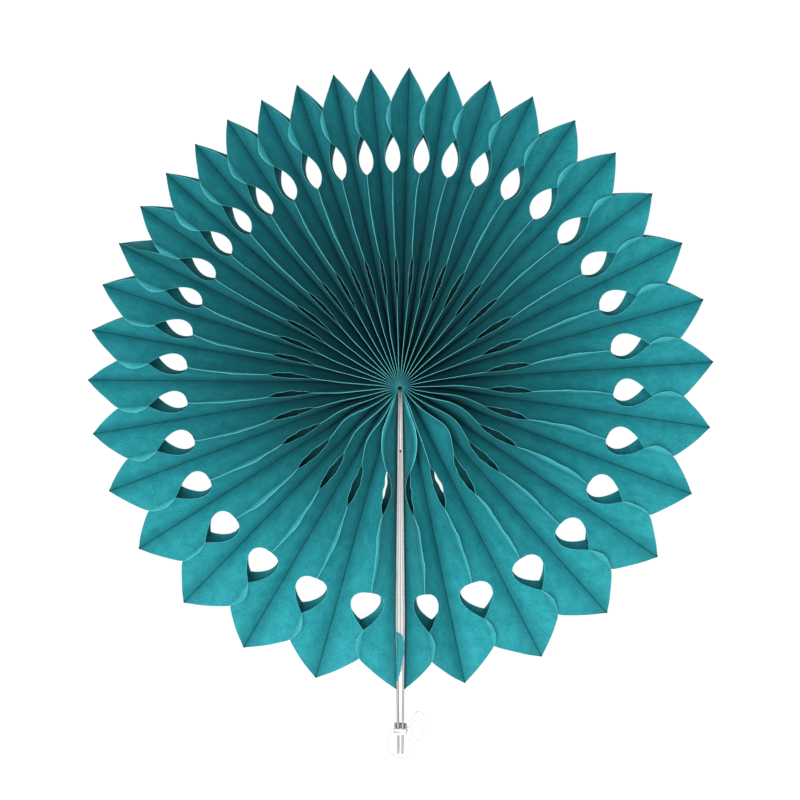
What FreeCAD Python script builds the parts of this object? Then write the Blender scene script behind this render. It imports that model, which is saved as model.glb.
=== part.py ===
import FreeCAD, Part
import math
import os

import Sketcher
from FreeCAD import Placement, Rotation, Vector

# Paper fan rosette, opened full circle and lying on its back, front face up.
# The hub is the Z axis. The seam, with its two card boards, points along -Y.
# Die-cut sheets stand on edge around the hub. Each one is glued to one neighbour
# along its centre crease and to the other along a stripe near both long edges,
# so that two neighbouring sheets make one open, diamond-shaped cell.
# "Along" is a distance down a crease from the spine towards the pointed tip.
# "Reach" is a distance across the flat sheet from its centre crease.

SIZES = [
    ("cell_count", 35, "cells round the full circle"),
    ("sheet_length", 150.0, "spine to pointed tip, along the crease"),
    ("sheet_thickness", 0.1, "one layer of paper"),
    ("stripe_reach", 22.0, "centre crease to the glue stripe near each long edge"),
    ("crease_half_width", 1.0, "half width of the glued centre crease"),
    ("hub_slack", 0.03, "free room left in the narrowest cell at the hub"),
    ("tip_run", 16.5, "length of the free pointed tip"),
    ("tip_fullness", 0.85, "under 1 the tip's cut edges bulge outwards"),
    ("outer_lobe_run", 14.6, "length of the glued lobe next to the tip"),
    ("eye_run", 18.7, "length of the large notch"),
    ("eye_depth", 12.0, "depth of the large notch below the glue stripe"),
    ("middle_lobe_run", 38.2, "length of the glued lobe between the notches"),
    ("slit_run", 21.5, "length of the small notch"),
    ("slit_depth", 6.0, "depth of the small notch below the glue stripe"),
    ("outer_margin", 2.6, "glued edge beyond the stripe, outer lobe"),
    ("middle_margin", 2.6, "glued edge beyond the stripe, middle lobe"),
    ("inner_margin", 3.6, "glued edge beyond the stripe, inner lobe"),
    ("outer_lean_angle", 50.0, "lean of the outer lobe's glued edge, degrees"),
    ("middle_lean_angle", 35.0, "lean of the middle lobe's glued edge, degrees"),
    ("inner_lean_angle", 25.0, "lean of the inner lobe's glued edge, degrees"),
    ("first_wave_angle", 21.5, "uneven opening, once round the circle, degrees"),
    ("first_phase_angle", 13.5, "place of the first wave, degrees"),
    ("second_wave_angle", 1.8, "uneven opening, twice round the circle, degrees"),
    ("third_wave_angle", 0.81, "uneven opening, three times round, degrees"),
    ("third_phase_angle", -35.0, "place of the third wave, degrees"),
    ("seam_pull_angle", 4.4, "how much narrower the first cell is drawn at the seam, degrees"),
    ("board_thickness", 1.0, "card board glued to the first and the last sheet"),
    ("board_width", 12.0, "board, in the fan's depth"),
    ("board_start", 3.2, "hub axis to the inner end of the boards"),
    ("board_bend", 115.0, "hub axis to where the boards stand widest apart"),
    ("board_overhang", 30.5, "boards beyond the pointed tips"),
    ("gap_widest", 2.6, "gap between the boards at the bend"),
    ("gap_end", 1.0, "gap between the boards at their tied outer end"),
    ("tape_width", 11.0, "double-sided tape between the boards, in depth"),
    ("tape_start", 33.0, "hub axis to the inner end of the tape"),
    ("tape_length", 107.0, "tape, along the boards"),
    ("string_diameter", 1.6, "hanging string"),
    ("wrap_inset", 11.0, "outer end of the boards to the string tied round them"),
    ("wrap_turns", 2, "turns of string side by side round the boards"),
]

# Outline steps: how many straight cuts stand for each curved stretch.
LOBE_STEPS = 4
EYE_STEPS = 4
SLIT_STEPS = 3
TIP_STEPS = 2
# The pull at the seam fades out with this power of the way left to go round
PULL_FADING = 4
FULL_TURN = 360.0
SEAM_DIRECTION = 270.0
FRONT = 1
BACK = -1

doc = FreeCAD.newDocument("paper_fan_rosette")
sheet = doc.addObject("Spreadsheet::Sheet", "Sizes")
for row, (alias, value, meaning) in enumerate(SIZES, start=1):
    sheet.set("A%d" % row, meaning)
    sheet.set("B%d" % row, str(value))
    sheet.setAlias("B%d" % row, alias)
doc.recompute()


def size(alias):
    return float(sheet.get(alias))


CELLS = int(size("cell_count"))
THICK = size("sheet_thickness")
LENGTH = size("sheet_length")
STRIPE = size("stripe_reach")
CREASE = size("crease_half_width")
SPINE_RADIUS = size("board_thickness")
SEAM_SPLAY = math.degrees(math.atan2(size("gap_widest") / 2, size("board_bend")))


# Where the creases stand round the hub


def crease_angle(number):
    """Direction of a crease, in radians; the cells are wide at the seam and crowded opposite it."""
    turn = 2 * math.pi * number / CELLS
    first_phase = math.radians(size("first_phase_angle"))
    third_phase = math.radians(size("third_phase_angle"))
    first = size("first_wave_angle") * (math.sin(turn - first_phase) + math.sin(first_phase))
    second = size("second_wave_angle") * math.sin(2 * turn)
    third = size("third_wave_angle") * (math.sin(3 * turn - third_phase) + math.sin(third_phase))
    even = (FULL_TURN - 2 * SEAM_SPLAY) * number / CELLS
    pull = size("seam_pull_angle") * min(number, 1) * (1 - number / CELLS) ** PULL_FADING
    return math.radians(SEAM_DIRECTION + SEAM_SPLAY + even + first + second + third - pull)


def crease_foot(number):
    """The creases leave a small arc that wraps the inner end of the two boards."""
    turn = math.pi * number / CELLS
    return Vector(SPINE_RADIUS * math.cos(turn), SPINE_RADIUS * math.sin(turn), 0)


def direction(angle):
    return Vector(math.cos(angle), math.sin(angle), 0)


def across(angle):
    return Vector(-math.sin(angle), math.cos(angle), 0)


class Cell:
    """Two sheets glued together along both long edges, between two neighbouring creases."""

    def __init__(self, number):
        self.angles = [crease_angle(number), crease_angle(number + 1)]
        self.feet = [crease_foot(number), crease_foot(number + 1)]
        self.middle_angle = sum(self.angles) / 2
        self.middle_foot = (self.feet[0] + self.feet[1]) / 2
        self.lean_side = -1 if number == CELLS - 1 else 1

    def middle(self, along):
        return self.middle_foot + direction(self.middle_angle) * along

    def crease(self, side, along, inside):
        angle = self.angles[side]
        inwards = across(angle) * (THICK if side == 0 else -THICK)
        point = self.feet[side] + direction(angle) * along
        return point + inwards if inside else point

    def ridge_height(self, along):
        """Height of the stripe over mid-depth; a cell pulled wider than its paper lies flat."""
        half_gap = (self.middle(along) - self.crease(0, along, True)).Length
        return CREASE + math.sqrt(max((STRIPE - CREASE) ** 2 - half_gap ** 2, 0))

    def point(self, side, inside, along, reach, face):
        """A point of one sheet; the folded sheet keeps its flat size from crease to stripe."""
        share = max(reach - CREASE, 0) / (STRIPE - CREASE)
        outwards = across(self.middle_angle) * (-THICK if side == 0 else THICK)
        ridge = self.middle(along) if inside else self.middle(along) + outwards
        start = self.crease(side, along, inside)
        place = start + (ridge - start) * share
        rise = min(reach, CREASE) + share * (self.ridge_height(along) - CREASE)
        return Vector(place.x, place.y, rise * face)

    def edge_point(self, side, along, margin, lean, face):
        """A point on the cut edge of the glued double layer that stands beyond the stripe."""
        tilt = math.radians(lean) * self.lean_side
        layer = -THICK if side == 0 else THICK
        sideways = margin * math.sin(tilt) + layer * math.cos(tilt)
        upwards = margin * math.cos(tilt) - layer * math.sin(tilt)
        place = self.middle(along) + across(self.middle_angle) * sideways
        return Vector(place.x, place.y, (self.ridge_height(along) + upwards) * face)


def hub_end(cells):
    """The sheets start where the narrowest cell has room for its two layers."""
    needed = 2 * THICK + size("hub_slack")
    along = 0
    for cell in cells:
        spread = across(cell.middle_angle).dot(cell.feet[1] - cell.feet[0])
        half_angle = (cell.angles[1] - cell.angles[0]) / 2
        along = max(along, (needed - spread) / (2 * math.sin(half_angle)))
    return along


# The flat outline of one sheet, given for the half on one side of its crease


def stretch(start, end, steps, reach_of):
    """Points of a cut edge between two places, without its two ends."""
    shares = [step / steps for step in range(1, steps)]
    return [(start + (end - start) * share, reach_of(share)) for share in shares]


def eye_reach(share):
    """Rounded towards the hub, pointed towards the tip."""
    return STRIPE - size("eye_depth") * math.sin(math.pi * share ** 0.75) ** 0.8


def slit_reach(share):
    return STRIPE - size("slit_depth") * math.sin(math.pi * share)


def tip_reach(share):
    return STRIPE * (1 - share) ** size("tip_fullness")


def lobe_margin(widest):
    return lambda share: widest * math.sin(math.pi * share)


def outline(start):
    """Straight glued stretches as lobes, and the free cut edges between them."""
    shoulder = LENGTH - size("tip_run")
    eye_outer = shoulder - size("outer_lobe_run")
    eye_inner = eye_outer - size("eye_run")
    slit_outer = eye_inner - size("middle_lobe_run")
    slit_inner = slit_outer - size("slit_run")
    lobes = [
        (start, slit_inner, size("inner_margin"), size("inner_lean_angle")),
        (slit_outer, eye_inner, size("middle_margin"), size("middle_lean_angle")),
        (eye_outer, shoulder, size("outer_margin"), size("outer_lean_angle")),
    ]
    slit = stretch(slit_inner, slit_outer, SLIT_STEPS, slit_reach)
    eye = stretch(eye_inner, eye_outer, EYE_STEPS, eye_reach)
    tip = stretch(shoulder, LENGTH, TIP_STEPS, tip_reach)
    blunt = LENGTH - size("tip_run") * (CREASE / STRIPE) ** (1 / size("tip_fullness"))
    ends = [(along, STRIPE) for lobe in lobes for along in lobe[:2]]
    free = [
        [(start, CREASE), ends[0]],
        [ends[1]] + slit + [ends[2]],
        [ends[3]] + eye + [ends[4]],
        [ends[5]] + tip + [(blunt, CREASE)],
    ]
    upper = free[0][1:] + free[1] + free[2] + free[3]
    anchors = (start, (slit_inner + slit_outer) / 2, (eye_inner + eye_outer) / 2)
    lower = [(along, CREASE) for along in anchors]
    return lobes, free, upper, lower


# The faces of one cell


def strip_triangles(lower, upper):
    """Triangles between two chains of points, always closed along the shorter diagonal."""
    triangles = []
    low, high = 0, 0
    while low < len(lower) - 1 or high < len(upper) - 1:
        if low == len(lower) - 1:
            step_up = True
        elif high == len(upper) - 1:
            step_up = False
        else:
            step_up = math.dist(lower[low], upper[high + 1]) < math.dist(lower[low + 1], upper[high])
        following = upper[high + 1] if step_up else lower[low + 1]
        triangles.append((lower[low], upper[high], following))
        if step_up:
            high += 1
        else:
            low += 1
    return triangles


def flat_face(points):
    return Part.Face(Part.makePolygon(points + points[:1]))


def quad_faces(first, second, third, fourth):
    return [flat_face([first, second, third]), flat_face([first, third, fourth])]


def panel_faces(cell, side, face, upper, lower):
    """Both sides of the paper between the crease and the stripe."""
    faces = []
    for inside in (False, True):
        for triangle in strip_triangles(lower, upper):
            faces.append(flat_face([cell.point(side, inside, *spot, face) for spot in triangle]))
    return faces


def cut_edge_faces(cell, side, face, free):
    faces = []
    for chain in free:
        for spot, following in zip(chain, chain[1:]):
            outer = [cell.point(side, False, *place, face) for place in (spot, following)]
            inner = [cell.point(side, True, *place, face) for place in (following, spot)]
            faces += quad_faces(*outer, *inner)
    return faces


def crease_faces(cell, side, upper, lower):
    """The narrow flat stripe along the crease, with its two ends."""
    front_edge = lower + upper[-1:]
    loop = [(along, reach, BACK) for along, reach in front_edge] + [(LENGTH, 0, FRONT)]
    loop += [(along, reach, FRONT) for along, reach in reversed(front_edge)]
    outer = [cell.point(side, False, *spot) for spot in loop]
    inner = [cell.point(side, True, *spot) for spot in loop]
    tip = len(front_edge)
    faces = [flat_face(outer), flat_face(inner)]
    for start, end in ((-1, 0), (tip - 1, tip), (tip, tip + 1)):
        faces += quad_faces(outer[start], outer[end], inner[end], inner[start])
    return faces


def lobe_faces(cell, face, start, end, margin, lean):
    """The glued double layer beyond the stripe: its two sides and its cut edge."""
    spots = stretch(start, end, LOBE_STEPS, lobe_margin(margin))
    rims = []
    for side in (0, 1):
        rim = [cell.point(side, False, start, STRIPE, face)]
        rim += [cell.edge_point(side, along, width, lean, face) for along, width in spots]
        rim += [cell.point(side, False, end, STRIPE, face)]
        rims.append(rim)
    faces = []
    for rim in rims:
        for near, far in zip(rim[1:], rim[2:]):
            faces.append(flat_face([rim[0], near, far]))
    first, last = rims
    for step in range(1, LOBE_STEPS - 1):
        faces += quad_faces(first[step], first[step + 1], last[step + 1], last[step])
    for place, corner, near in ((start, 0, 1), (end, -1, -2)):
        middle = cell.point(0, True, place, STRIPE, face)
        faces.append(flat_face([first[corner], first[near], middle]))
        faces.append(flat_face([middle, first[near], last[near]]))
        faces.append(flat_face([middle, last[near], last[corner]]))
    return faces


def cell_solid(cell, start):
    lobes, free, upper, lower = outline(start)
    faces = []
    for side in (0, 1):
        faces += crease_faces(cell, side, upper, lower)
        for face in (FRONT, BACK):
            faces += panel_faces(cell, side, face, upper, lower)
            faces += cut_edge_faces(cell, side, face, free)
    for face in (FRONT, BACK):
        for lobe in lobes:
            faces += lobe_faces(cell, face, *lobe)
    shell = Part.makeShell(faces)
    shell.sewShape()
    return Part.makeSolid(shell)


def make_cells():
    cells = [Cell(number) for number in range(CELLS)]
    start = hub_end(cells)
    features = []
    for number, cell in enumerate(cells, start=1):
        feature = doc.addObject("Part::Feature", "cell_%02d" % number)
        feature.Label = "cell_%02d" % number
        feature.Shape = cell_solid(cell, start)
        features.append(feature)
    return features


# The card boards and the tape of the seam


def straight_piece(name, corners, depth):
    """A piece whose outline lies in the fan's plane; corners are (side, sideways, along) sizes."""
    body = doc.addObject("PartDesign::Body", name)
    body.Label = name
    plane = [part for part in body.Origin.OriginFeatures if part.Role == "XY_Plane"][0]
    sketch = body.newObject("Sketcher::SketchObject", name + "_outline")
    sketch.AttachmentSupport = [(plane, "")]
    sketch.MapMode = "FlatFace"
    rough = [Vector(side * (1 + index), -1 - index ** 2, 0) for index, (side, _, _) in enumerate(corners)]
    for index, spot in enumerate(rough):
        sketch.addGeometry(Part.LineSegment(spot, rough[(index + 1) % len(rough)]), False)
    for index in range(len(corners)):
        following = (index + 1) % len(corners)
        sketch.addConstraint(Sketcher.Constraint("Coincident", index, 2, following, 1))
    for index, (side, sideways, along) in enumerate(corners):
        ends = (-1, 1, index, 1) if side > 0 else (index, 1, -1, 1)
        place = sketch.addConstraint(Sketcher.Constraint("DistanceX", *ends, abs(rough[index].x)))
        sketch.setExpression("Constraints[%d]" % place, sideways)
        place = sketch.addConstraint(Sketcher.Constraint("DistanceY", index, 1, -1, 1, abs(rough[index].y)))
        sketch.setExpression("Constraints[%d]" % place, along)
    pad = body.newObject("PartDesign::Pad", name + "_pad")
    pad.Profile = sketch
    pad.Midplane = True
    pad.setExpression("Length", depth)
    body.Tip = pad
    return body


# Half the gap between the boards, at their start, their bend, their end and the tape's ends
BOARD_END = "(Sizes.sheet_length + Sizes.board_overhang)"
TAPE_END = "(Sizes.tape_start + Sizes.tape_length)"
GAP_AT_START = "Sizes.gap_widest / 2 * Sizes.board_start / Sizes.board_bend"
GAP_AT_BEND = "Sizes.gap_widest / 2"
GAP_AT_END = "Sizes.gap_end / 2"
GAP_CLOSING = "(Sizes.gap_widest - Sizes.gap_end) / 2 / (" + BOARD_END + " - Sizes.board_bend)"
GAP_AT_TAPE_START = "Sizes.gap_widest / 2 * Sizes.tape_start / Sizes.board_bend"
GAP_AT_TAPE_END = GAP_AT_END + " + (" + BOARD_END + " - " + TAPE_END + ") * " + GAP_CLOSING


def make_board(name, side):
    inner = [
        (side, GAP_AT_START, "Sizes.board_start"),
        (side, GAP_AT_BEND, "Sizes.board_bend"),
        (side, GAP_AT_END, BOARD_END),
    ]
    outer = [(side, gap + " + Sizes.board_thickness", along) for _, gap, along in reversed(inner)]
    return straight_piece(name, inner + outer, "Sizes.board_width")


def make_tape(name):
    right = [
        (1, GAP_AT_TAPE_START, "Sizes.tape_start"),
        (1, GAP_AT_BEND, "Sizes.board_bend"),
        (1, GAP_AT_TAPE_END, TAPE_END),
    ]
    left = [(-1, gap, along) for _, gap, along in reversed(right)]
    return straight_piece(name, right + left, "Sizes.tape_width")


# The hanging string


def box(name, expressions):
    piece = doc.addObject("Part::Box", name)
    for place, expression in expressions.items():
        piece.setExpression(place, expression)
    return piece


# The wrap lies on the boards where its side towards the hub meets their outer faces
WRAP_LENGTH = "Sizes.wrap_turns * Sizes.string_diameter"
WRAP_MIDDLE = "(" + BOARD_END + " - Sizes.wrap_inset)"
WRAP_REACH = "(Sizes.wrap_inset + " + WRAP_LENGTH + " / 2)"
WRAP_OPENING = "(Sizes.gap_end + 2 * Sizes.board_thickness + 2 * " + WRAP_REACH + " * " + GAP_CLOSING + ")"


def make_wrap(name):
    """The turns of string tied round both boards, as one closed ring."""
    hole = box(name + "_opening", {
        "Length": WRAP_OPENING,
        "Width": "2 * " + WRAP_LENGTH,
        "Height": "Sizes.board_width",
        "Placement.Base.x": "-" + WRAP_OPENING + " / 2",
        "Placement.Base.y": "-" + WRAP_MIDDLE + " - " + WRAP_LENGTH,
        "Placement.Base.z": "-Sizes.board_width / 2",
    })
    ring = box(name + "_outside", {
        "Length": WRAP_OPENING + " + 2 * Sizes.string_diameter",
        "Width": WRAP_LENGTH,
        "Height": "Sizes.board_width + 2 * Sizes.string_diameter",
        "Placement.Base.x": "-" + WRAP_OPENING + " / 2 - Sizes.string_diameter",
        "Placement.Base.y": "-" + WRAP_MIDDLE + " - " + WRAP_LENGTH + " / 2",
        "Placement.Base.z": "-Sizes.board_width / 2 - Sizes.string_diameter",
    })
    wrap = doc.addObject("Part::Cut", name)
    wrap.Label = name
    wrap.Base = ring
    wrap.Tool = hole
    return wrap


# The string's routes, sideways, away from the hub and upwards from the middle of the wrap's side
LOOP_ROUTE = [
    (0.0, -0.8, 3.2),
    (2.8, -0.8, 3.2),
    (3.0, -7.4, 4.6),
    (6.2, -10.0, 5.0),
    (8.6, -5.6, 4.4),
    (8.8, 1.6, 2.8),
    (6.8, 6.6, 1.2),
    (3.4, 5.2, 0.0),
    (2.8, 0.8, -0.8),
    (0.0, 0.8, -0.8),
]
TAIL_ROUTE = [
    (0.0, 0.8, 1.0),
    (-2.6, 0.8, 1.0),
    (-4.2, 5.8, 0.6),
    (-3.0, 11.6, -0.8),
    (1.2, 15.6, -2.4),
    (6.6, 16.0, -3.8),
    (9.6, 11.6, -5.2),
    (7.8, 6.4, -6.6),
]
ARC_SHARE = 0.45


def string_path(points):
    """Straight runs joined by tangent arcs, each as large as its two runs allow."""
    edges = []
    begin = points[0]
    for before, corner, after in zip(points, points[1:], points[2:]):
        entering = (corner - before).normalize()
        leaving = (after - corner).normalize()
        setback = ARC_SHARE * min(corner.distanceToPoint(before), corner.distanceToPoint(after))
        arc_start = corner - entering * setback
        arc_end = corner + leaving * setback
        radius = setback / math.tan(entering.getAngle(leaving) / 2)
        inwards = (leaving - entering).normalize()
        centre = corner + inwards * math.hypot(radius, setback)
        arc_middle = centre - inwards * radius
        edges.append(Part.LineSegment(begin, arc_start).toShape())
        edges.append(Part.Arc(arc_start, arc_middle, arc_end).toShape())
        print("string radius %.1f" % radius)
        begin = arc_end
    edges.append(Part.LineSegment(begin, points[-1]).toShape())
    return Part.Wire(edges)


def make_string(name, wrap, side, route):
    """A run of string that starts on the right (1) or the left (-1) side of the wrap."""
    bounds = wrap.Shape.BoundBox
    face = bounds.XMax if side > 0 else bounds.XMin
    middle = (bounds.YMin + bounds.YMax) / 2
    points = [Vector(face + sideways, middle - away, rise) for sideways, away, rise in route]
    path = string_path(points)
    circle = Part.Circle(points[0], points[1] - points[0], size("string_diameter") / 2)
    feature = doc.addObject("Part::Feature", name)
    feature.Label = name
    feature.Shape = path.makePipeShell([Part.Wire(circle.toShape())], True, True)
    return feature


# Assembly

pieces = make_cells()
pieces.append(make_board("board_right", 1))
pieces.append(make_board("board_left", -1))
pieces.append(make_tape("seam_tape"))
string_wrap = make_wrap("string_wrap")
doc.recompute()
pieces.append(string_wrap)
pieces.append(make_string("hanging_loop", string_wrap, 1, LOOP_ROUTE))
pieces.append(make_string("string_tail", string_wrap, -1, TAIL_ROUTE))
doc.recompute()

# The fan rests on the back edges of its lobes
rest_height = -min(piece.Shape.BoundBox.ZMin for piece in pieces)
for piece in pieces:
    piece.Placement = Placement(Vector(0, 0, rest_height), Rotation())
doc.recompute()

for item in doc.Objects:
    if "Invalid" in item.State or "Error" in item.State:
        raise RuntimeError("%s failed: %s" % (item.Name, item.State))
for piece in pieces:
    if piece.Shape.isNull() or not piece.Shape.isValid():
        raise RuntimeError("%s has no valid shape" % piece.Label)
    if len(piece.Shape.Solids) != 1 or piece.Shape.Volume <= 0:
        raise RuntimeError("%s is not one closed solid" % piece.Label)

os.makedirs("parts", exist_ok=True)
for piece in pieces:
    piece.Shape.exportStep(os.path.join("parts", piece.Label + ".step"))
print("mid-depth height %.3f" % rest_height)
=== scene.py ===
import math
import random

import bmesh
import bpy
from mathutils import Matrix, Vector, noise


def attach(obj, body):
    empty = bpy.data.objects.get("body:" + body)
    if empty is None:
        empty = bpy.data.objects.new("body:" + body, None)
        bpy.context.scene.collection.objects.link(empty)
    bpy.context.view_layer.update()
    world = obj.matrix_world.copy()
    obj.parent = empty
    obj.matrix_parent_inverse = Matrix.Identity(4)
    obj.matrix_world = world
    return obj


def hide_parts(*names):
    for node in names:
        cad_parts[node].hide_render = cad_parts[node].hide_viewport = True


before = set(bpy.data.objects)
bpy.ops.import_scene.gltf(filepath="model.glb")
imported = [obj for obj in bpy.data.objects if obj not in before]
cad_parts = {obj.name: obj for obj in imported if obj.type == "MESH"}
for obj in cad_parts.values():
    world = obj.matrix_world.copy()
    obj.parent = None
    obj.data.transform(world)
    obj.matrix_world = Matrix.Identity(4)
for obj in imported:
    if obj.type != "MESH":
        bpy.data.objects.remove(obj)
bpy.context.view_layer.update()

# Paper fan rosette, opened full circle and lying on its back, front face up.
# Sizes are millimetres and degrees, as in the part's own source; meshes are written in metres.
MM = 0.001
MID_DEPTH = 25.271

# The sheets
CELLS = 35
LAST_CELL = CELLS - 1
SHEET_LENGTH = 150.0
PAPER = 0.1
STRIPE_REACH = 22.0
CREASE_HALF = 1.0
CREASE_GLUED = 0.5
HUB_START = 1.06
SLIT_INNER = 40.5
SLIT_OUTER = 62.0
EYE_INNER = 100.2
EYE_OUTER = 118.9
SHOULDER = 133.5
SLIT_DEPTH = 6.0
EYE_DEPTH = 12.0
TIP_FULLNESS = 0.85

# The boards and the gap between them, which opens up to the bend and closes beyond it
BOARD_THICKNESS = 1.0
BOARD_BEND = 115.0
BOARD_END = 180.5
BOARD_DEPTH = 12.0
GAP_WIDEST = 2.6
GAP_END = 1.0
GAP_OPENING = GAP_WIDEST / 2 / BOARD_BEND
GAP_CLOSING = (GAP_WIDEST - GAP_END) / 2 / (BOARD_END - BOARD_BEND)
SEAM_SPLAY = math.degrees(math.atan2(GAP_WIDEST / 2, BOARD_BEND))

# The string
STRING = 1.6
WRAP_ALONG = 169.5
WRAP_FACE = 3.25

draw = random.Random(35)


# Helpers


def link(obj):
    bpy.context.scene.collection.objects.link(obj)
    return obj


def finished(name, mesh, material, nodes=()):
    """Put a mesh into the scene as one piece of the object."""
    obj = link(bpy.data.objects.new(name, mesh))
    mesh.materials.clear()
    mesh.materials.append(material)
    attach(obj, "root")
    if nodes:
        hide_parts(*nodes)
    return obj


def mesh_from(bm, name):
    mesh = bpy.data.meshes.new(name)
    bm.to_mesh(mesh)
    bm.free()
    return mesh


def smooth(mesh):
    mesh.polygons.foreach_set("use_smooth", [True] * len(mesh.polygons))


def add_thickness(obj, thickness):
    wall = obj.modifiers.new("paper_thickness", "SOLIDIFY")
    wall.thickness = thickness * MM
    wall.offset = -1.0


# Camera

TARGET = Vector((0.0, 0.0, MID_DEPTH * MM))
CAMERA_DISTANCE = 1.2
CAMERA_TILT = math.radians(5.5)
CAMERA_SIDE = Vector((0.1, 0.995, 0.0))
FRAME_WIDTH = 0.3852
SENSOR_WIDTH = 36.0


def photo_camera():
    """Above the fan, and a little to the side opposite the seam."""
    data = bpy.data.cameras.new("photo_camera")
    data.sensor_width = SENSOR_WIDTH
    data.lens = SENSOR_WIDTH * CAMERA_DISTANCE / FRAME_WIDTH
    data.shift_x = -0.0005
    data.shift_y = -0.0212
    camera = link(bpy.data.objects.new("photo_camera", data))
    lift = Vector((0.0, 0.0, 1.0)) * math.cos(CAMERA_TILT)
    outward = lift + CAMERA_SIDE * math.sin(CAMERA_TILT)
    camera.location = TARGET + outward * CAMERA_DISTANCE
    up = Vector((0.0, 1.0, 0.0))
    right = up.cross(outward).normalized()
    top = outward.cross(right).normalized()
    camera.rotation_euler = Matrix((right, top, outward)).transposed().to_euler()
    bpy.context.scene.camera = camera


photo_camera()


# Materials


class Tree:
    """Short hands for the nodes of one material or node group."""

    def __init__(self, tree):
        self.tree = tree

    def node(self, kind, **settings):
        made = self.tree.nodes.new(kind)
        for name, value in settings.items():
            setattr(made, name, value)
        return made

    def plug(self, source, target):
        if isinstance(source, (int, float, tuple)):
            target.default_value = source
        else:
            self.tree.links.new(source, target)

    def math(self, operation, first, second=0.0):
        made = self.node("ShaderNodeMath", operation=operation)
        self.plug(first, made.inputs[0])
        self.plug(second, made.inputs[1])
        return made.outputs[0]

    def blend(self, first, second, share):
        """Two values added, the first with its share and the second with the rest."""
        first = self.math("MULTIPLY", first, share)
        return self.math("ADD", first, self.math("MULTIPLY", second, 1 - share))

    def ramp(self, value, low, high, start=0.0, end=1.0):
        """Value from low to high becomes start to end, softly, and stays there outside."""
        made = self.node("ShaderNodeMapRange", interpolation_type="SMOOTHSTEP")
        for socket, number in zip(made.inputs, (value, low, high, start, end)):
            self.plug(number, socket)
        return made.outputs[0]

    def noise(self, vector, scale, detail=2.0, roughness=0.5):
        made = self.node("ShaderNodeTexNoise")
        self.plug(vector, made.inputs["Vector"])
        made.inputs["Scale"].default_value = scale
        made.inputs["Detail"].default_value = detail
        made.inputs["Roughness"].default_value = roughness
        return made.outputs["Fac"]

    def mix(self, factor, first, second):
        made = self.node("ShaderNodeMix", data_type="RGBA")
        self.plug(factor, made.inputs[0])
        self.plug(first, made.inputs[6])
        self.plug(second, made.inputs[7])
        return made.outputs[2]

    def mottled(self, tone, dark, pale):
        """Two colours spread over a surface by its cloudy tone."""
        return self.mix(self.ramp(tone, 0.3, 0.7), dark, pale)

    def attribute(self, name):
        return self.node("ShaderNodeAttribute", attribute_name=name).outputs["Fac"]

    def place(self):
        return self.node("ShaderNodeTexCoord").outputs["Object"]

    def coordinates(self):
        made = self.node("ShaderNodeSeparateXYZ")
        self.plug(self.place(), made.inputs[0])
        return made.outputs

    def hub_distance(self):
        flat = self.node("ShaderNodeVectorMath", operation="MULTIPLY")
        self.plug(self.place(), flat.inputs[0])
        flat.inputs[1].default_value = (1.0, 1.0, 0.0)
        length = self.node("ShaderNodeVectorMath", operation="LENGTH")
        self.plug(flat.outputs[0], length.inputs[0])
        return length.outputs["Value"]

    def bump(self, height, strength, distance):
        made = self.node("ShaderNodeBump")
        made.inputs["Strength"].default_value = strength
        made.inputs["Distance"].default_value = distance * MM
        self.plug(height, made.inputs["Height"])
        return made.outputs["Normal"]


def linear(red, green, blue):
    """A colour given as 0 to 255 display values, as the shader wants it."""
    parts = [value / 255 for value in (red, green, blue)]
    return tuple(p / 12.92 if p <= 0.04045 else ((p + 0.055) / 1.055) ** 2.4 for p in parts) + (1.0,)


def new_group(name, inputs, outputs):
    group = bpy.data.node_groups.new(name, "ShaderNodeTree")
    for socket, kind, value in inputs:
        made = group.interface.new_socket(socket, in_out="INPUT", socket_type=kind)
        made.default_value = value
    for socket, kind in outputs:
        group.interface.new_socket(socket, in_out="OUTPUT", socket_type=kind)
    tree = Tree(group)
    return tree, tree.node("NodeGroupInput").outputs, tree.node("NodeGroupOutput").inputs


def paper_fibres():
    """Cloudy tone and short felted fibres, as in any uncoated paper."""
    tree, given, result = new_group(
        "paper_fibres",
        [("Vector", "NodeSocketVector", (0.0, 0.0, 0.0)), ("Fineness", "NodeSocketFloat", 1.0)],
        [("Tone", "NodeSocketFloat"), ("Height", "NodeSocketFloat")],
    )
    scaled = tree.node("ShaderNodeVectorMath", operation="SCALE")
    tree.plug(given["Vector"], scaled.inputs[0])
    tree.plug(given["Fineness"], scaled.inputs["Scale"])
    vector = scaled.outputs[0]
    cloud = tree.noise(vector, 160.0, 3.0, 0.6)
    fleck = tree.noise(vector, 1100.0, 3.0, 0.65)
    grain = tree.noise(vector, 3600.0, 1.0)
    tree.plug(tree.blend(cloud, fleck, 0.45), result["Tone"])
    tree.plug(tree.blend(fleck, grain, 0.6), result["Height"])
    return tree.tree


FIBRES = paper_fibres()


def new_material(name, roughness):
    material = bpy.data.materials.new(name)
    material.use_nodes = True
    shader = material.node_tree.nodes["Principled BSDF"]
    shader.inputs["Roughness"].default_value = roughness
    return material, Tree(material.node_tree), shader


def fibres(tree, fineness):
    made = tree.node("ShaderNodeGroup", node_tree=FIBRES)
    tree.plug(tree.place(), made.inputs["Vector"])
    made.inputs["Fineness"].default_value = fineness
    return made.outputs["Tone"], made.outputs["Height"]


PAPER_TRANSLUCENCE = 0.08


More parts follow.
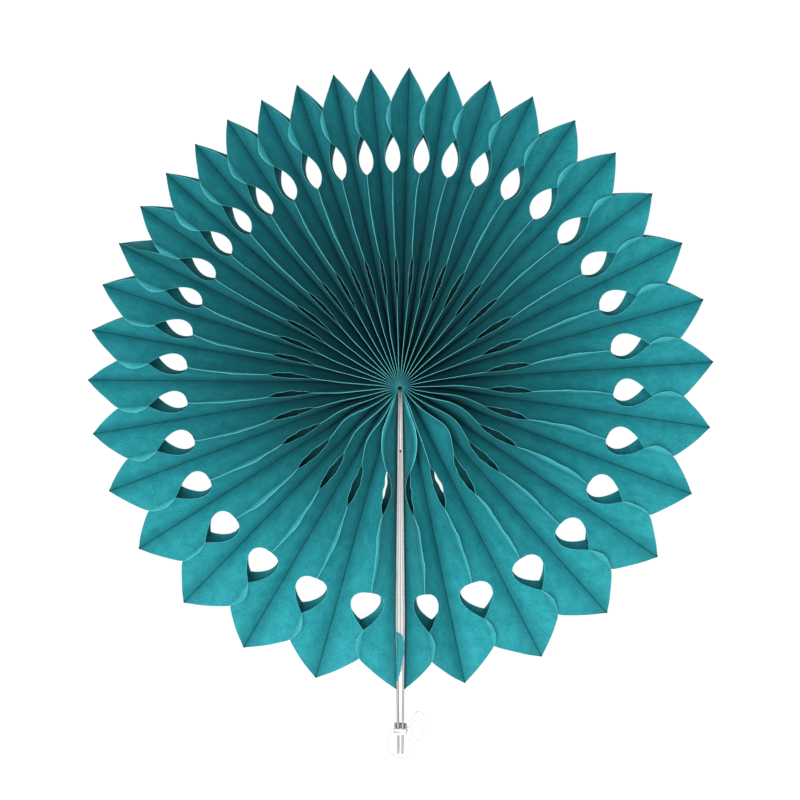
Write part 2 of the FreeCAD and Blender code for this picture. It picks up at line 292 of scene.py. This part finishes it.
def teal_paper():
    """Thin dyed paper: some light comes through; painted shade darkens the creases, the folds, the
    closed cells and the hub, and a painted highlight lightens the cut edges.
    """
    material, tree, shader = new_material("teal_craft_paper", 0.7)
    tone, height = fibres(tree, 1.0)
    reach = tree.math("ABSOLUTE", tree.attribute("reach"))
    colour = tree.mottled(tone, linear(22, 140, 151), linear(52, 175, 183))
    # What a shade follows, where it starts and ends, its strength at each, and its colour
    for mask, low, high, start, end, shade in (
        # Painted shade along the crease line and down in the fold
        (reach, 0.3, 1.5, 0.45, 0.0, linear(0, 76, 88)),
        (reach, 0.5, 12.0, 0.5, 0.0, linear(0, 84, 95)),
        # Painted shade in cells that stand nearly closed, by their openness
        (tree.attribute("openness"), 0.0, 1.0, 0.64, 0.0, linear(0, 64, 74)),
        # The glued double edge beyond the stripe, a little paler, and a painted highlight along the cut
        # edge of every sheet
        (reach, STRIPE_REACH + 0.1, STRIPE_REACH + 0.9, 0.0, 0.07, linear(100, 202, 208)),
        (tree.attribute("edge_gap"), 0.03, 0.32, 0.7, 0.0, linear(110, 208, 212)),
        # Painted shade on the crowded sheets at the hub
        (tree.hub_distance(), 4 * MM, 8.5 * MM, 0.72, 0.0, linear(0, 84, 94)),
    ):
        colour = tree.mix(tree.ramp(mask, low, high, start, end), colour, shade)
    tree.plug(colour, shader.inputs["Base Color"])
    shader.inputs["Specular IOR Level"].default_value = 0.4
    tree.plug(tree.bump(height, 0.35, 0.12), shader.inputs["Normal"])
    through = tree.node("ShaderNodeBsdfTranslucent")
    tree.plug(colour, through.inputs["Color"])
    mixed = tree.node("ShaderNodeMixShader")
    mixed.inputs[0].default_value = PAPER_TRANSLUCENCE
    tree.plug(shader.outputs[0], mixed.inputs[1])
    tree.plug(through.outputs[0], mixed.inputs[2])
    tree.plug(mixed.outputs[0], material.node_tree.nodes["Material Output"].inputs["Surface"])
    return material


def grey_card():
    """Grey card: darker on and near its faces, paler in the middle of its thickness, which shows on the
    cut edge.
    """
    material, tree, shader = new_material("grey_card", 0.8)
    tone, height = fibres(tree, 0.7)
    place = tree.coordinates()
    away = tree.math("ABSOLUTE", place["Y"])
    opening = tree.math("MULTIPLY", away, GAP_OPENING)
    closing_from = (GAP_WIDEST / 2 + GAP_CLOSING * BOARD_BEND) * MM
    closing = tree.math("SUBTRACT", closing_from, tree.math("MULTIPLY", away, GAP_CLOSING))
    half_gap = tree.math("MINIMUM", opening, closing)
    inside = tree.math("SUBTRACT", tree.math("ABSOLUTE", place["X"]), half_gap)
    from_core = tree.math("ABSOLUTE", tree.math("SUBTRACT", inside, BOARD_THICKNESS / 2 * MM))
    core = tree.ramp(from_core, 0.2 * MM, 0.42 * MM, 1.0, 0.0)
    lining = tree.mottled(tone, linear(104, 98, 96), linear(132, 126, 124))
    pulp = tree.mottled(tone, linear(158, 153, 151), linear(186, 182, 180))
    tree.plug(tree.mix(core, lining, pulp), shader.inputs["Base Color"])
    tree.plug(tree.bump(height, 0.4, 0.15), shader.inputs["Normal"])
    return material


def white_tape():
    """Foam tape, with a fine dark line of painted shade down its middle where the seam between the
    boards lies.
    """
    material, tree, shader = new_material("white_foam_tape", 0.55)
    tone, height = fibres(tree, 0.5)
    foam = tree.mix(tone, linear(176, 178, 177), linear(206, 209, 209))
    from_middle = tree.math("ABSOLUTE", tree.coordinates()["X"])
    # Painted shade: the fine dark line down the middle of the tape
    line = tree.ramp(from_middle, 0.08 * MM, 0.42 * MM, 0.75, 0.0)
    tree.plug(tree.mix(line, foam, linear(96, 90, 88)), shader.inputs["Base Color"])
    tree.plug(tree.bump(height, 0.3, 0.2), shader.inputs["Normal"])
    return material


def white_string():
    """Loosely twisted cotton: fine fibres run along each strand."""
    material, tree, shader = new_material("white_cotton_string", 0.9)
    fuzz = tree.noise(tree.place(), 4200.0, 3.0, 0.7)
    soft = tree.noise(tree.place(), 700.0, 2.0)
    tone = tree.blend(fuzz, soft, 0.6)
    cotton = tree.mottled(tone, linear(228, 227, 223), linear(251, 251, 249))
    tree.plug(cotton, shader.inputs["Base Color"])
    shader.inputs["Sheen Weight"].default_value = 0.25
    tree.plug(tree.bump(fuzz, 0.6, 0.1), shader.inputs["Normal"])
    return material


TEAL = teal_paper()
CARD = grey_card()
TAPE = white_tape()
COTTON = white_string()


# The hanging string

# Sideways from the wrap's side, away from the hub, and upwards from mid-depth
LOOP_ROUTE = [
    (0.0, -0.8, 3.2),
    (2.8, -0.8, 3.2),
    (3.0, -7.4, 4.6),
    (6.2, -10.0, 5.0),
    (8.6, -5.6, 4.4),
    (8.8, 1.6, 2.8),
    (6.8, 6.6, 1.2),
    (3.4, 5.2, 0.0),
    (2.8, 0.8, -0.8),
    (0.0, 0.8, -0.8),
]
TAIL_ROUTE = [
    (0.0, 0.8, 1.0),
    (-2.6, 0.8, 1.0),
    (-4.2, 5.8, 0.6),
    (-3.0, 11.6, -0.8),
    (1.2, 15.6, -2.4),
    (6.6, 16.0, -3.8),
    (9.6, 11.6, -5.2),
    (7.8, 6.4, -6.6),
]
PLY_COUNT = 3
PLY_PITCH = 3.4
PLY_STEP = 0.26
# Each strand's half thickness and its distance from the middle, as shares of the string
PLY_RADIUS = 0.262
PLY_OFFSET = 0.238


def route_points(name, side, route):
    """The points of a NURBS spline whose control points are the route's own."""
    curve = bpy.data.curves.new(name, "CURVE")
    curve.dimensions = "3D"
    curve.resolution_u = 14
    spline = curve.splines.new("NURBS")
    spline.points.add(len(route) - 1)
    for place, (sideways, away, rise) in zip(spline.points, route):
        spot = (side * WRAP_FACE + sideways, -WRAP_ALONG - away, MID_DEPTH + rise)
        place.co = (*(value * MM for value in spot), 1.0)
    spline.order_u = 3
    spline.use_endpoint_u = True
    holder = link(bpy.data.objects.new(name + "_line", curve))
    line = bpy.data.meshes.new_from_object(holder)
    points = [vertex.co.copy() for vertex in line.vertices]
    bpy.data.objects.remove(holder)
    bpy.data.meshes.remove(line)
    return points


def run_length(points):
    return sum((b - a).length for a, b in zip(points, points[1:]))


def even_points(points, spacing):
    """The same line with points at even distances."""
    total = run_length(points)
    count = max(2, round(total / spacing))
    result = [points[0].copy()]
    travelled, index = 0.0, 0
    for step in range(1, count):
        wanted = total * step / count
        while travelled + (points[index + 1] - points[index]).length < wanted:
            travelled += (points[index + 1] - points[index]).length
            index += 1
        share = (wanted - travelled) / (points[index + 1] - points[index]).length
        result.append(points[index].lerp(points[index + 1], share))
    result.append(points[-1].copy())
    return result


def line_frames(points):
    """Each point of a line with two directions across it that don't twist."""
    normal = (points[1] - points[0]).orthogonal().normalized()
    frames = []
    for before, spot, after in zip([points[0]] + points, points, points[1:] + [points[-1]]):
        tangent = (after - before).normalized()
        normal = (normal - tangent * normal.dot(tangent)).normalized()
        frames.append((spot, normal, tangent.cross(normal)))
    return frames


def plies(name, points, closed=False):
    """Twisted strands that follow a line, as one mesh."""
    frames = line_frames(even_points(points, PLY_STEP * MM))
    bm = bmesh.new()
    string = STRING * MM
    for ply in range(PLY_COUNT):
        curve = bpy.data.curves.new(name, "CURVE")
        curve.dimensions = "3D"
        curve.bevel_depth = string * PLY_RADIUS
        curve.bevel_resolution = 2
        curve.use_fill_caps = not closed
        strand = curve.splines.new("POLY")
        strand.points.add(len(frames) - 1)
        for index, (spot, side, rise) in enumerate(frames):
            turn = 2 * math.pi * (index * PLY_STEP / PLY_PITCH + ply / PLY_COUNT)
            offset = (side * math.cos(turn) + rise * math.sin(turn)) * string * PLY_OFFSET
            strand.points[index].co = (*(spot + offset), 1.0)
        holder = link(bpy.data.objects.new(name, curve))
        part = bpy.data.meshes.new_from_object(holder)
        bm.from_mesh(part)
        bpy.data.objects.remove(holder)
        bpy.data.meshes.remove(part)
    mesh = mesh_from(bm, name)
    smooth(mesh)
    return mesh


def free_string(name, node, line):
    """One free run of the string, which is a cord."""
    cord = finished(name, plies(name, line), COTTON, [node])


free_string("string_loop", "hanging_loop", route_points("hanging_loop_route", 1, LOOP_ROUTE))
free_string("string_end", "string_tail", route_points("string_tail_route", -1, TAIL_ROUTE))


# The string tied round the boards

WRAP_CORNER = 1.0
CORNER_STEPS = 4
WRAP_SKEW = 0.12


def wrap_line(along, lean):
    """One turn round both boards, its corners rounded over the boards' edges."""
    across = WRAP_FACE - STRING / 2
    rise = BOARD_DEPTH / 2 + STRING / 2
    points = []
    for turn, (x, z) in enumerate([(1, 1), (-1, 1), (-1, -1), (1, -1)]):
        for step in range(CORNER_STEPS + 1):
            angle = math.pi / 2 * (turn + step / CORNER_STEPS)
            spot_x = x * (across - WRAP_CORNER) + WRAP_CORNER * math.cos(angle)
            spot_z = z * (rise - WRAP_CORNER) + WRAP_CORNER * math.sin(angle)
            skew = lean * spot_x / across
            points.append(Vector((spot_x, -along - skew, MID_DEPTH + spot_z)) * MM)
    return points + points[:1]


def string_wrap():
    bm = bmesh.new()
    for along, lean in ((WRAP_ALONG - STRING / 2, WRAP_SKEW), (WRAP_ALONG + STRING / 2, -WRAP_SKEW)):
        turn = plies("turn", wrap_line(along, lean), closed=True)
        bm.from_mesh(turn)
        bpy.data.meshes.remove(turn)
    mesh = mesh_from(bm, "string_wrap_turns")
    smooth(mesh)
    finished("string_wrap_turns", mesh, COTTON, ["string_wrap"])


string_wrap()


# Where the creases stand round the hub

# Size in degrees, times round the circle, and phase
CREASE_WAVES = ((21.5, 1, -13.5), (1.8, 2, 0.0), (0.81, 3, 35.0))
SEAM_PULL = 4.4
PULL_FADING = 4


def crease_angle(number):
    turn = 2 * math.pi * number / CELLS
    angle = 270 + SEAM_SPLAY + (360 - 2 * SEAM_SPLAY) * number / CELLS
    for size, times, phase in CREASE_WAVES:
        phase = math.radians(phase)
        angle += size * (math.sin(times * turn + phase) - math.sin(phase))
    pull = SEAM_PULL * min(number, 1) * (1 - number / CELLS) ** PULL_FADING
    return math.radians(angle - pull)


def crease_foot(number):
    turn = math.pi * number / CELLS
    return Vector((math.cos(turn), math.sin(turn), 0.0)) * BOARD_THICKNESS


def direction(angle):
    return Vector((math.cos(angle), math.sin(angle), 0.0))


def across(angle):
    return Vector((-math.sin(angle), math.cos(angle), 0.0))


def clamp(value, low=0.0, high=1.0):
    return max(low, min(high, value))


def blend(value, low, high, start, end):
    return start + (end - start) * clamp((value - low) / (high - low))


def bulge(along, size, middle, width):
    """A soft hump along a sheet: its size, where its middle is, and how wide it is."""
    return size * math.exp(-(((along - middle) / width) ** 2))


# How softly a panel bends at its crease and at its stripe
CREASE_SOFTNESS = 0.6
STRIPE_SOFTNESS = 0.7
STRIPE_BEND = 0.8


def soft_ramp(value, softness):
    return (value + math.hypot(value, softness)) / 2


def panel_share(reach):
    """0 on the crease and 1 on the glue stripe, with a small bend at either end."""
    end = STRIPE_REACH - STRIPE_BEND
    rising = soft_ramp(reach - CREASE_HALF, CREASE_SOFTNESS)
    rising -= soft_ramp(CREASE_GLUED - CREASE_HALF, CREASE_SOFTNESS)
    return clamp((rising - soft_ramp(reach - end, STRIPE_SOFTNESS)) / (end - CREASE_HALF))


# The flat outline of one sheet

SLIT_FULLNESS = 0.7
SLIT_RIPPLE = 0.55
SLIT_RIPPLES = 3
EYE_SKEW = 0.75
EYE_FULLNESS = 0.8


def free_reach(along):
    """Reach of the cut edge where it lies inside the glue stripe."""
    if SLIT_INNER < along < SLIT_OUTER:
        share = (along - SLIT_INNER) / (SLIT_OUTER - SLIT_INNER)
        ripple = SLIT_RIPPLE * math.sin(math.pi * share) * math.cos(2 * SLIT_RIPPLES * math.pi * share)
        return STRIPE_REACH - SLIT_DEPTH * math.sin(math.pi * share) ** SLIT_FULLNESS + ripple
    if EYE_INNER < along < EYE_OUTER:
        share = (along - EYE_INNER) / (EYE_OUTER - EYE_INNER)
        return STRIPE_REACH - EYE_DEPTH * math.sin(math.pi * share ** EYE_SKEW) ** EYE_FULLNESS
    if along > SHOULDER:
        share = clamp((along - SHOULDER) / (SHEET_LENGTH - SHOULDER))
        return STRIPE_REACH * (1 - share) ** TIP_FULLNESS
    return STRIPE_REACH


# The lobes of the glued edge: name, start, end, and how far they stand beyond the stripe
LOBES = [
    ("inner", HUB_START, SLIT_INNER, 3.6),
    ("middle", SLIT_OUTER, EYE_INNER, 2.6),
    ("outer", EYE_OUTER, SHOULDER, 3.3),
]
LOBE_FULLNESS = 0.8

# Start, end and number of rows of a sheet's grid
SPANS = [
    (HUB_START, 8.0, 9),
    (8.0, SLIT_INNER, 14),
    (SLIT_INNER, SLIT_OUTER, 18),
    (SLIT_OUTER, EYE_INNER, 20),
    (EYE_INNER, EYE_OUTER, 14),
    (EYE_OUTER, SHOULDER, 10),
    (SHOULDER, SHEET_LENGTH, 9),
]
STATIONS = [low + (high - low) * step / count for low, high, count in SPANS for step in range(count)]
STATIONS.append(SHEET_LENGTH)

# Its columns: 0 on the crease, 1 on the stripe, and 2 on the rim of the glued edge
PANEL_SHARES = [0.0, 0.022, 0.045, 0.07, 0.11, 0.22, 0.4, 0.6, 0.78, 0.92, 0.965, 1.0]
FIN_SHARES = [0.35, 0.7, 1.0]
HALF_COLUMNS = PANEL_SHARES[1:] + [1 + share for share in FIN_SHARES]
COLUMNS = [-value for value in reversed(HALF_COLUMNS)] + [0.0] + HALF_COLUMNS


# How each cell differs from the next

# Lean of the glued edges, in degrees from upright. Each row has a narrow and a wide opening of
# the cell, the lean at either, and how far it strays from cell to cell.
LEANS = {
    "inner": (8.0, 15.0, 6.0, 12.0, 2.0),
    "middle": (8.0, 14.0, 20.0, 60.0, 7.0),
    "outer": (8.0, 14.0, 60.0, 66.0, 8.0),
}
SEAM_LEAN = 34.0

# The cell whose glued front edge has come apart next to its tip
LOOSE_CELL = 24
LOOSE_SHIFT = 5.4
LOOSE_START = 117.0
LOOSE_RUN = 22.0

# The sheets crowd together at the hub
HUB_REACH = 9.0
HUB_FRONT = Vector((0.0, -1.0, 0.0))
HUB_BACK = Vector((0.0, -2.0, 0.0))

# The two sheets that are glued to the boards, as cell and side
SEAM_SHEETS = ((0, 0), (LAST_CELL, 1))

# Beside the boards the front ridges bow out near the hub and come back at the small notch,
# and the left one comes back once more: size, middle, width
SEAM_BOW = (2.6, 25, 13)
SEAM_CLOSING = (3.2, 51, 10)
LEFT_CLOSING = (2.4, 84, 20)

# The front ridges of the next cells sweep away from the seam, on its right and on its left
RIGHT_SWEEPS = {2: 6.0, 3: 4.6, 4: 4.2, 5: 2.4, 6: 1.2}
LEFT_SWEEPS = {29: -1.0, 30: -2.4, 31: -4.6, 32: -3.8, 33: -4.2}
RIDGE_SWEEPS = {**RIGHT_SWEEPS, **LEFT_SWEEPS}
SWEEP_PLACE = (28, 12)
# How much of a sideways bow shows as loss of height
BOW_SHARE = 0.4

# Behind the small notches the back ridges drift aside and close the view, but not in two cells
SLIT_PLACE = (51, 20)
OPEN_SLITS = {1: 0.22, LAST_CELL: 0.03}

# Behind the large notches the back halves bend aside, and slide towards the hub, most at the top
EYE_BEND = 1.7
EYE_BEND_AT_SEAM = 2.2
EYE_BEND_PLACE = (110, 12)
EYE_SLIDE = 0.7
EYE_SLIDE_TOP = 1.9
EYE_SLIDE_PLACE = (110, 16)

# From this half width on a cell counts as fully open and gets no painted shade for being closed; cells
# at the seam always count as partly open
OPEN_GAP = 14.0
SEAM_OPENNESS = {0: 0.8, 1: 0.8, 2: 0.75, 3: 0.6, 4: 0.45, 31: 0.4, 32: 0.5, 33: 0.6, 34: 0.7}

# Unevenness of the folded paper
RIDGE_WANDER = 0.5
WANDER_RUN = 34.0
PANEL_WAVE = 0.55
PANEL_BELLY = 0.12
WAVE_ALONG = 26
WAVE_ACROSS = 15


class Cell:
    """Two sheets glued along both long edges, between two neighbouring creases."""

    def __init__(self, number):
        self.number = number
        self.angles = [crease_angle(number), crease_angle(number + 1)]
        self.feet = [crease_foot(number), crease_foot(number + 1)]
        self.middle_angle = sum(self.angles) / 2
        self.middle_foot = (self.feet[0] + self.feet[1]) / 2
        self.lean_side = -1 if number == LAST_CELL else 1
        self.at_seam = number in (0, LAST_CELL)
        self.leans = {name: self.lean_of(name) for name in LEANS}
        self.fullness = {name: draw.uniform(0.8, 1.15) for name in LEANS}
        self.wave_seed = draw.uniform(0, 100)
        self.skew = draw.uniform(-0.9, 0.9)
        facing = math.cos(self.middle_angle)
        closed = 0.45 + 0.45 * (1 - abs(facing))
        self.drift = OPEN_SLITS.get(number, math.copysign(closed, facing))
        self.eye_bend = math.copysign(EYE_BEND_AT_SEAM, facing) if self.at_seam else EYE_BEND * facing
        self.eye_slide = EYE_SLIDE + EYE_SLIDE_TOP * math.sin(self.middle_angle)

    def lean_of(self, name):
        if name == "inner" and self.at_seam:
            return SEAM_LEAN
        opening = math.degrees(self.angles[1] - self.angles[0])
        *limits, spread = LEANS[name]
        return blend(opening, *limits) + draw.uniform(-spread, spread)

    def wave(self, along, length, seed):
        return noise.noise(Vector((along / length, self.wave_seed, seed)))

    def middle(self, along):
        return self.middle_foot + direction(self.middle_angle) * along

    def ridge_middle(self, along, face):
        if face < 0:
            along -= bulge(along, self.eye_slide, *EYE_SLIDE_PLACE)
        return self.middle(along)

    def crease(self, side, along):
        """The first and the last sheet follow the bend of the boards that they are glued to."""
        angle = self.angles[side]
        point = self.feet[side] + direction(angle) * along
        if (self.number, side) in SEAM_SHEETS and along > BOARD_BEND:
            bend = GAP_OPENING + GAP_CLOSING
            point += across(angle) * (along - BOARD_BEND) * bend * (1 if side else -1)
        return point

    def half_gap(self, along):
        inner = self.feet[0] + direction(self.angles[0]) * along + across(self.angles[0]) * PAPER
        return (self.middle(along) - inner).length

    def openness(self, along):
        return clamp(self.half_gap(along) / OPEN_GAP, SEAM_OPENNESS.get(self.number, 0.0))

    def front_bow(self, along):
        """Sideways bows of the front ridge: those of the two seam cells, and the next cells' sweep."""
        if not self.at_seam:
            return bulge(along, RIDGE_SWEEPS.get(self.number, 0.0), *SWEEP_PLACE)
        bow = bulge(along, *SEAM_BOW) - bulge(along, *SEAM_CLOSING)
        if self.number == 0:
            return bow
        return -(bow - bulge(along, *LEFT_CLOSING))

    def ridge_place(self, side, face, along):
        """Sideways shift and height of one sheet's stripe, on the front (1) or the back (-1)."""
        gap = self.half_gap(along)
        half = gap
        shift = RIDGE_WANDER * min(gap / 6, 1.0) * self.wave(along, WANDER_RUN, 9.0 * face)
        if face > 0:
            bow = self.front_bow(along)
            shift += bow
            half += BOW_SHARE * abs(bow)
        else:
            shift += self.skew * min(gap / 10, 1.0)
            shift += bulge(along, self.drift * gap, *SLIT_PLACE)
            shift += bulge(along, self.eye_bend, *EYE_BEND_PLACE) * min(gap / 10, 1.0)
        apart = LOOSE_SHIFT * self.loose(side, face, along) ** 0.8
        shift += apart
        half -= apart
        flat = STRIPE_REACH - CREASE_HALF
        return shift, CREASE_HALF + math.sqrt(max(flat ** 2 - half ** 2, 0))

    def loose(self, side, face, along):
        """1 where one sheet has come off its neighbour."""
        if self.number != LOOSE_CELL or side == 0 or face < 0:
            return 0.0
        return clamp((along - LOOSE_START) / LOOSE_RUN)

    def fin(self, along):
        """Width of the glued edge beyond the stripe, and its lean at the root and at the rim."""
        for name, low, high, widest in LOBES:
            if low <= along <= high:
                share = (along - low) / (high - low)
                margin = widest * self.fullness[name]
                margin *= max(math.sin(math.pi * share), 0) ** LOBE_FULLNESS
                margin *= 1 + 0.4 * self.wave(along, 11.0, 3.0) + 0.2 * self.wave(along, 4.5, 7.0)
                swing = 8 if name == "inner" else 20
                lean = max(self.leans[name] + swing * self.wave(along, 16.0, 5.0), 4.0)
                if name == "inner":
                    lean = blend(along, 2.5, 7.0, 82.0, lean)
                return margin, math.radians(lean * 0.5), math.radians(lean * 1.25)
        return 0.0, 0.0, 0.1

    def pinch(self, place, along, face, part):
        """The sheets crowd together at the hub's front, and close up at its back."""
        near = clamp(1 - (along - HUB_START) / HUB_REACH) ** 1.5 * part
        if face > 0:
            return place.lerp(HUB_FRONT, near * 0.5)
        return place.lerp(HUB_BACK, near * 0.98)

    def panel_point(self, side, along, face, reach):
        """A point of one sheet between its crease and its stripe."""
        outwards = PAPER if side else -PAPER
        shift, height = self.ridge_place(side, face, along)
        sideways_of = across(self.middle_angle)
        ridge = self.ridge_middle(along, face) + sideways_of * (outwards + shift)
        part = 1.0 if reach >= STRIPE_REACH else panel_share(reach)
        start = self.crease(side, along)
        place = start + (ridge - start) * part
        belly = math.sin(math.pi * part) * min(self.half_gap(along) / 5, 1.0)
        spot = Vector((along / WAVE_ALONG, reach / WAVE_ACROSS * face, self.wave_seed + 30 * side))
        place += sideways_of * belly * (PANEL_WAVE * noise.noise(spot) + PANEL_BELLY * outwards / PAPER)
        place = self.pinch(place, along, face, part)
        if (self.number, side) in SEAM_SHEETS:
            place.x *= 1 - 0.95 * clamp((3.1 - along) / 1.1)
        rise = reach - (STRIPE_REACH - height) * part
        return Vector((place.x, place.y, rise * face))

    def fin_point(self, side, along, face, out, margin, root, rim):
        """A point of the glued edge beyond the stripe, which curls over from its root to its rim."""
        outwards = PAPER if side else -PAPER
        shift, height = self.ridge_place(side, face, along)
        tilt = root + (rim - root) * out
        turned = max(rim - root, 1e-4)
        lean_side = -0.3 if self.loose(side, face, along) else self.lean_side
        sideways = margin * (math.cos(root) - math.cos(tilt)) / turned * lean_side
        upwards = margin * (math.sin(tilt) - math.sin(root)) / turned
        tilt *= lean_side * min(margin, 1.0)
        sideways = shift + sideways + outwards * math.cos(tilt)
        place = self.ridge_middle(along, face) + across(self.middle_angle) * sideways
        place = self.pinch(place, along, face, 1.0)
        rise = min(height + upwards - outwards * math.sin(tilt), MID_DEPTH - 0.04)
        return Vector((place.x, place.y, rise * face))

    def point(self, side, along, column):
        """A point on the outer face of one sheet, with its reach and its distance from the cut edge."""
        face = -1 if column < 0 else 1
        share = abs(column)
        margin, root, rim = self.fin(along)
        free = free_reach(along)
        if share <= 1.0 or margin < 0.02:
            reach = min(share, 1.0) * free
            return self.panel_point(side, along, face, reach), reach, max(margin + free - reach, 0.0)
        out = share - 1
        place = self.fin_point(side, along, face, out, margin, root, rim)
        return place, free + margin * out, margin * (1 - out)


# Attributes that the paper's colour reads: reach for the painted crease and fold shade and the paler
# glued edge, edge_gap for the painted highlight along cut edges, openness for the painted shade of
# closed cells
PAPER_LAYERS = ("reach", "edge_gap", "openness")


def add_sheet(bm, cell, side, layers):
    """One die-cut sheet: a flat grid laid into its folded place."""
    reach_layer, edge_layer, openness_layer = layers
    rows = len(STATIONS) - 1
    columns = len(COLUMNS) - 1
    made = bmesh.ops.create_grid(bm, x_segments=rows, y_segments=columns, size=1.0)
    verts = made["verts"]
    for vert in verts:
        along = STATIONS[round((vert.co.x + 1) / 2 * rows)]
        column = COLUMNS[round((vert.co.y + 1) / 2 * columns)]
        place, reach, edge = cell.point(side, along, column)
        vert[reach_layer] = reach
        vert[edge_layer] = edge
        vert[openness_layer] = cell.openness(along)
        vert.co = Vector((place.x, place.y, place.z + MID_DEPTH)) * MM
    if side == 1:
        faces = list({face for vert in verts for face in vert.link_faces})
        bmesh.ops.reverse_faces(bm, faces=faces)
    bmesh.ops.remove_doubles(bm, verts=verts, dist=0.004 * MM)


def paper_cell(number):
    cell = Cell(number)
    bm = bmesh.new()
    layers = [bm.verts.layers.float.new(name) for name in PAPER_LAYERS]
    for side in (0, 1):
        add_sheet(bm, cell, side, layers)
    name = "paper_cell_%02d" % (number + 1)
    mesh = mesh_from(bm, name)
    smooth(mesh)
    obj = finished(name, mesh, TEAL, ["cell_%02d" % (number + 1)])
    add_thickness(obj, PAPER * 0.96)


for number in range(CELLS):
    paper_cell(number)


# The edge of the left seam sheet folded over the boards: along the seam, and the free edge sideways

FLAP_ROWS = [
    (120.0, -2.2),
    (121.2, -0.2),
    (122.6, 1.1),
    (126.0, 2.0),
    (128.4, 1.7),
    (131.0, 1.9),
    (134.0, 1.0),
    (137.5, 0.5),
    (141.5, -0.3),
    (144.5, -1.4),
    (146.0, -2.2),
]
FLAP_LEFT = -2.35
FLAP_COLUMNS = 8
FLAP_CLEARANCE = 0.25
FLAP_CROWN = 1.3
FLAP_TUCK = 1.1


def folded_flap():
    bm = bmesh.new()
    reach_layer, edge_layer, openness_layer = [bm.verts.layers.float.new(name) for name in PAPER_LAYERS]
    rows = len(FLAP_ROWS) - 1
    made = bmesh.ops.create_grid(bm, x_segments=FLAP_COLUMNS, y_segments=rows, size=1.0)
    for vert in made["verts"]:
        share = (vert.co.x + 1) / 2
        along, end = FLAP_ROWS[round((1 - vert.co.y) / 2 * rows)]
        width = end - FLAP_LEFT
        sideways = FLAP_LEFT + width * share
        crown = FLAP_CROWN * math.sin(math.pi * min(share, 0.8)) * width / 4.4
        rise = BOARD_DEPTH / 2 + FLAP_CLEARANCE + crown - FLAP_TUCK * (1 - share) ** 4
        # A fixed reach and openness give the flap some of the painted fold shade and a little of the
        # painted closed-cell shade; its edge gap gives the painted highlight along its free edge
        vert[reach_layer] = 7.0
        vert[openness_layer] = 0.8
        vert[edge_layer] = (end - sideways) + 0.05
        vert.co = Vector((sideways, -along, MID_DEPTH + rise)) * MM
    mesh = mesh_from(bm, "paper_flap")
    smooth(mesh)
    add_thickness(finished("paper_flap", mesh, TEAL), PAPER)


folded_flap()


# Boards and tape keep their solids and take their finish

for node, material, slot_name in (
    ("board_right", CARD, "card"),
    ("board_left", CARD, "card"),
    ("seam_tape", TAPE, "foam_tape"),
):
    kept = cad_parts[node]
    kept.data.materials.clear()
    kept.data.materials.append(material)


# Floor and light


def pale_floor():
    """Near white to the eye, plain grey to the light that it throws back, with a faint shadow."""
    bm = bmesh.new()
    bmesh.ops.create_grid(bm, x_segments=1, y_segments=1, size=3.0)
    floor = link(bpy.data.objects.new("floor", mesh_from(bm, "floor")))
    material = bpy.data.materials.new("pale_floor")
    material.use_nodes = True
    tree = Tree(material.node_tree)
    material.node_tree.nodes.clear()
    output = tree.node("ShaderNodeOutputMaterial")
    path = tree.node("ShaderNodeLightPath").outputs
    seen = tree.math("MAXIMUM", path["Is Camera Ray"], path["Is Glossy Ray"])
    seen = tree.math("MAXIMUM", seen, path["Is Transmission Ray"])
    plain = tree.node("ShaderNodeBsdfDiffuse")
    plain.inputs["Color"].default_value = (0.8, 0.8, 0.8, 1.0)
    faint = tree.node("ShaderNodeBsdfDiffuse")
    faint.inputs["Color"].default_value = (0.14, 0.14, 0.14, 1.0)
    glow = tree.node("ShaderNodeEmission")
    glow.inputs["Strength"].default_value = 0.95
    both = tree.node("ShaderNodeAddShader")
    tree.plug(faint.outputs[0], both.inputs[0])
    tree.plug(glow.outputs[0], both.inputs[1])
    mixed = tree.node("ShaderNodeMixShader")
    tree.plug(seen, mixed.inputs[0])
    tree.plug(plain.outputs[0], mixed.inputs[1])
    tree.plug(both.outputs[0], mixed.inputs[2])
    tree.plug(mixed.outputs[0], output.inputs["Surface"])
    floor.data.materials.append(material)


def soft_lamp(name, place, size, power):
    data = bpy.data.lights.new(name, "AREA")
    data.shape = "DISK"
    data.size = size
    data.energy = power
    lamp = link(bpy.data.objects.new(name, data))
    lamp.location = place
    lamp.rotation_euler = (Vector(place) - TARGET).to_track_quat("Z", "Y").to_euler()


def studio_world():
    world = bpy.data.worlds.new("studio")
    world.use_nodes = True
    background = world.node_tree.nodes["Background"]
    background.inputs["Color"].default_value = (1.0, 1.0, 1.0, 1.0)
    background.inputs["Strength"].default_value = 0.1
    bpy.context.scene.world = world


pale_floor()
soft_lamp("key_lamp", (-0.12, -0.06, 1.5), 0.9, 32.0)
studio_world()
bpy.context.scene.view_settings.view_transform = "Standard"
